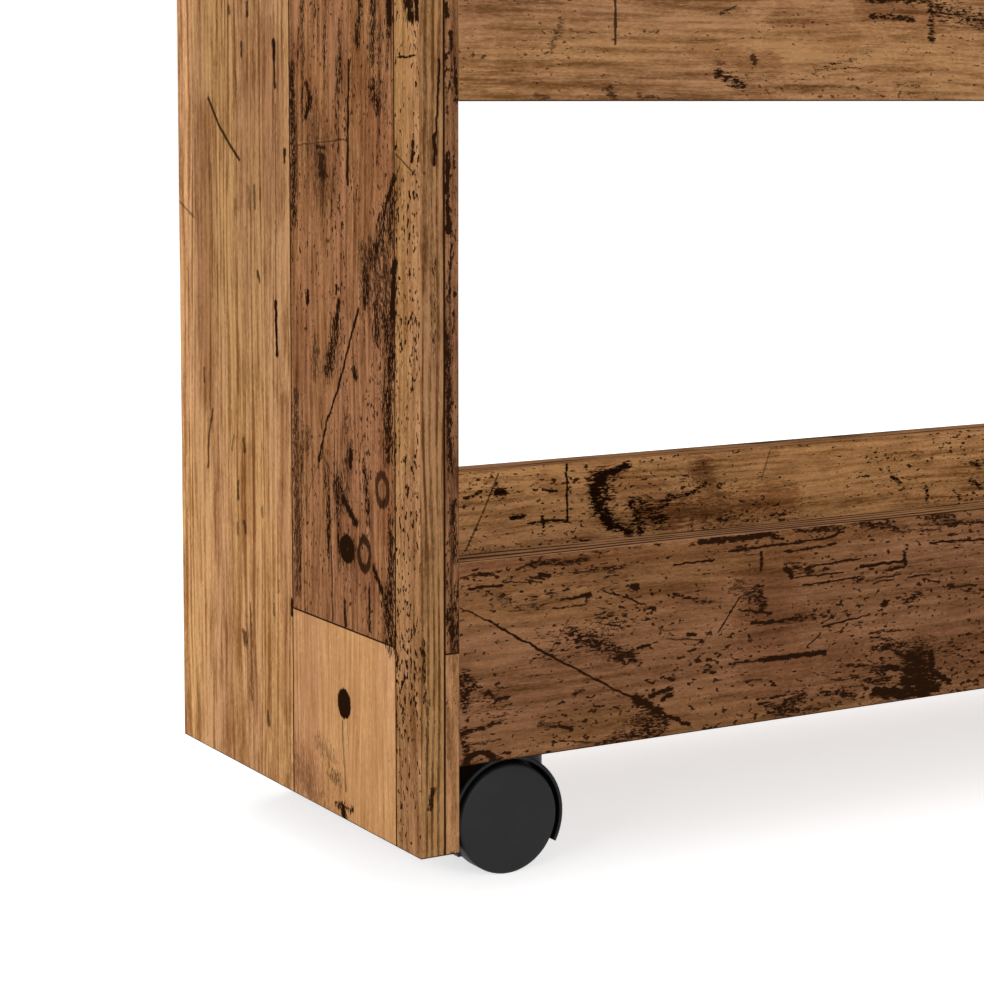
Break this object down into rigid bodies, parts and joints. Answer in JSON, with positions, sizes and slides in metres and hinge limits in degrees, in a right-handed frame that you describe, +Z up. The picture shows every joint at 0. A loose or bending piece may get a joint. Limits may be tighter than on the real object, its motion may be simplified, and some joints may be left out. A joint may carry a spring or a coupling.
{
  "type": "storage trolley",
  "caption": "Slim storage trolley with tray tiers between two board end panels, on swivelling twin-wheel castors.",
  "frame": {"origin": "on the floor, under the middle of the trolley's length and width", "axes": "+X along the length, -Y to the front side, +Z up"},
  "size_m": [0.54, 0.2, 0.57],
  "materials": {
    "panel_wood": "printed reclaimed-plank decor, honey and red-brown planks with dark knots and worn patches, satin",
    "rail_wood": "printed reclaimed-plank decor, mid to dark brown with long grain and black worn patches, satin",
    "shelf_wood": "printed reclaimed-plank decor, golden brown with long grain and dark flecks, satin",
    "beech": "plain turned beech",
    "zinc_steel": "zinc plated, semi-gloss",
    "cast_zinc": "die-cast zinc, matt",
    "plate_steel": "pressed steel, zinc plated",
    "hood_plastic": "black moulded plastic, satin",
    "wheel_plastic": "charcoal moulded plastic, satin, smooth"
  },
  "bodies": {
    "trolley": {"end_panel_left": "panel_wood", "end_panel_right": "panel_wood", "bottom_shelf": "shelf_wood", "middle_shelf": "shelf_wood", "top_shelf": "shelf_wood", "bottom_front_rail": "rail_wood", "bottom_back_rail": "rail_wood", "middle_front_rail": "rail_wood", "middle_back_rail": "rail_wood", "top_front_rail": "rail_wood", "top_back_rail": "rail_wood", "shelf_cam_bolts": "zinc_steel", "shelf_cam_locks": "cast_zinc", "rail_cam_bolts": "zinc_steel", "rail_cam_locks": "cast_zinc", "shelf_dowels": "beech", "rail_dowels": "beech", "front_left_castor_plate": "plate_steel", "front_left_castor_screws": "zinc_steel", "front_left_castor_pin": "plate_steel", "front_left_castor_washer": "zinc_steel", "front_left_castor_ring": "plate_steel", "front_right_castor_plate": "plate_steel", "front_right_castor_screws": "zinc_steel", "front_right_castor_pin": "plate_steel", "front_right_castor_washer": "zinc_steel", "front_right_castor_ring": "plate_steel", "back_left_castor_plate": "plate_steel", "back_left_castor_screws": "zinc_steel", "back_left_castor_pin": "plate_steel", "back_left_castor_washer": "zinc_steel", "back_left_castor_ring": "plate_steel", "back_right_castor_plate": "plate_steel", "back_right_castor_screws": "zinc_steel", "back_right_castor_pin": "plate_steel", "back_right_castor_washer": "zinc_steel", "back_right_castor_ring": "plate_steel"},
    "front_left_castor": {"front_left_castor_housing": "hood_plastic", "front_left_castor_axle": "plate_steel"},
    "front_left_outer_wheel": {"front_left_outer_wheel": "wheel_plastic"},
    "front_left_inner_wheel": {"front_left_inner_wheel": "wheel_plastic"},
    "front_right_castor": {"front_right_castor_housing": "hood_plastic", "front_right_castor_axle": "plate_steel"},
    "front_right_outer_wheel": {"front_right_outer_wheel": "wheel_plastic"},
    "front_right_inner_wheel": {"front_right_inner_wheel": "wheel_plastic"},
    "back_left_castor": {"back_left_castor_housing": "hood_plastic", "back_left_castor_axle": "plate_steel"},
    "back_left_outer_wheel": {"back_left_outer_wheel": "wheel_plastic"},
    "back_left_inner_wheel": {"back_left_inner_wheel": "wheel_plastic"},
    "back_right_castor": {"back_right_castor_housing": "hood_plastic", "back_right_castor_axle": "plate_steel"},
    "back_right_outer_wheel": {"back_right_outer_wheel": "wheel_plastic"},
    "back_right_inner_wheel": {"back_right_inner_wheel": "wheel_plastic"}
  },
  "joints": [
    {"name": "front_left_swivel", "type": "hinge", "parent": "trolley", "child": "front_left_castor", "pos_m": [-0.2052, -0.0563, 0.035], "axis": [0, 0, 1], "continuous": true},
    {"name": "front_left_outer_wheel_spin", "type": "hinge", "parent": "front_left_castor", "child": "front_left_outer_wheel", "pos_m": [-0.2192, -0.0563, 0.02], "axis": [0, 1, 0], "continuous": true},
    {"name": "front_left_inner_wheel_spin", "type": "hinge", "parent": "front_left_castor", "child": "front_left_inner_wheel", "pos_m": [-0.2192, -0.0563, 0.02], "axis": [0, 1, 0], "continuous": true},
    {"name": "front_right_swivel", "type": "hinge", "parent": "trolley", "child": "front_right_castor", "pos_m": [0.2052, -0.0563, 0.035], "axis": [0, 0, 1], "continuous": true},
    {"name": "front_right_outer_wheel_spin", "type": "hinge", "parent": "front_right_castor", "child": "front_right_outer_wheel", "pos_m": [0.1912, -0.0563, 0.02], "axis": [0, 1, 0], "continuous": true},
    {"name": "front_right_inner_wheel_spin", "type": "hinge", "parent": "front_right_castor", "child": "front_right_inner_wheel", "pos_m": [0.1912, -0.0563, 0.02], "axis": [0, 1, 0], "continuous": true},
    {"name": "back_left_swivel", "type": "hinge", "parent": "trolley", "child": "back_left_castor", "pos_m": [-0.2052, 0.0563, 0.035], "axis": [0, 0, 1], "continuous": true},
    {"name": "back_left_outer_wheel_spin", "type": "hinge", "parent": "back_left_castor", "child": "back_left_outer_wheel", "pos_m": [-0.2192, 0.0563, 0.02], "axis": [0, 1, 0], "continuous": true},
    {"name": "back_left_inner_wheel_spin", "type": "hinge", "parent": "back_left_castor", "child": "back_left_inner_wheel", "pos_m": [-0.2192, 0.0563, 0.02], "axis": [0, 1, 0], "continuous": true},
    {"name": "back_right_swivel", "type": "hinge", "parent": "trolley", "child": "back_right_castor", "pos_m": [0.2052, 0.0563, 0.035], "axis": [0, 0, 1], "continuous": true},
    {"name": "back_right_outer_wheel_spin", "type": "hinge", "parent": "back_right_castor", "child": "back_right_outer_wheel", "pos_m": [0.1912, 0.0563, 0.02], "axis": [0, 1, 0], "continuous": true},
    {"name": "back_right_inner_wheel_spin", "type": "hinge", "parent": "back_right_castor", "child": "back_right_inner_wheel", "pos_m": [0.1912, 0.0563, 0.02], "axis": [0, 1, 0], "continuous": true}
  ]
}
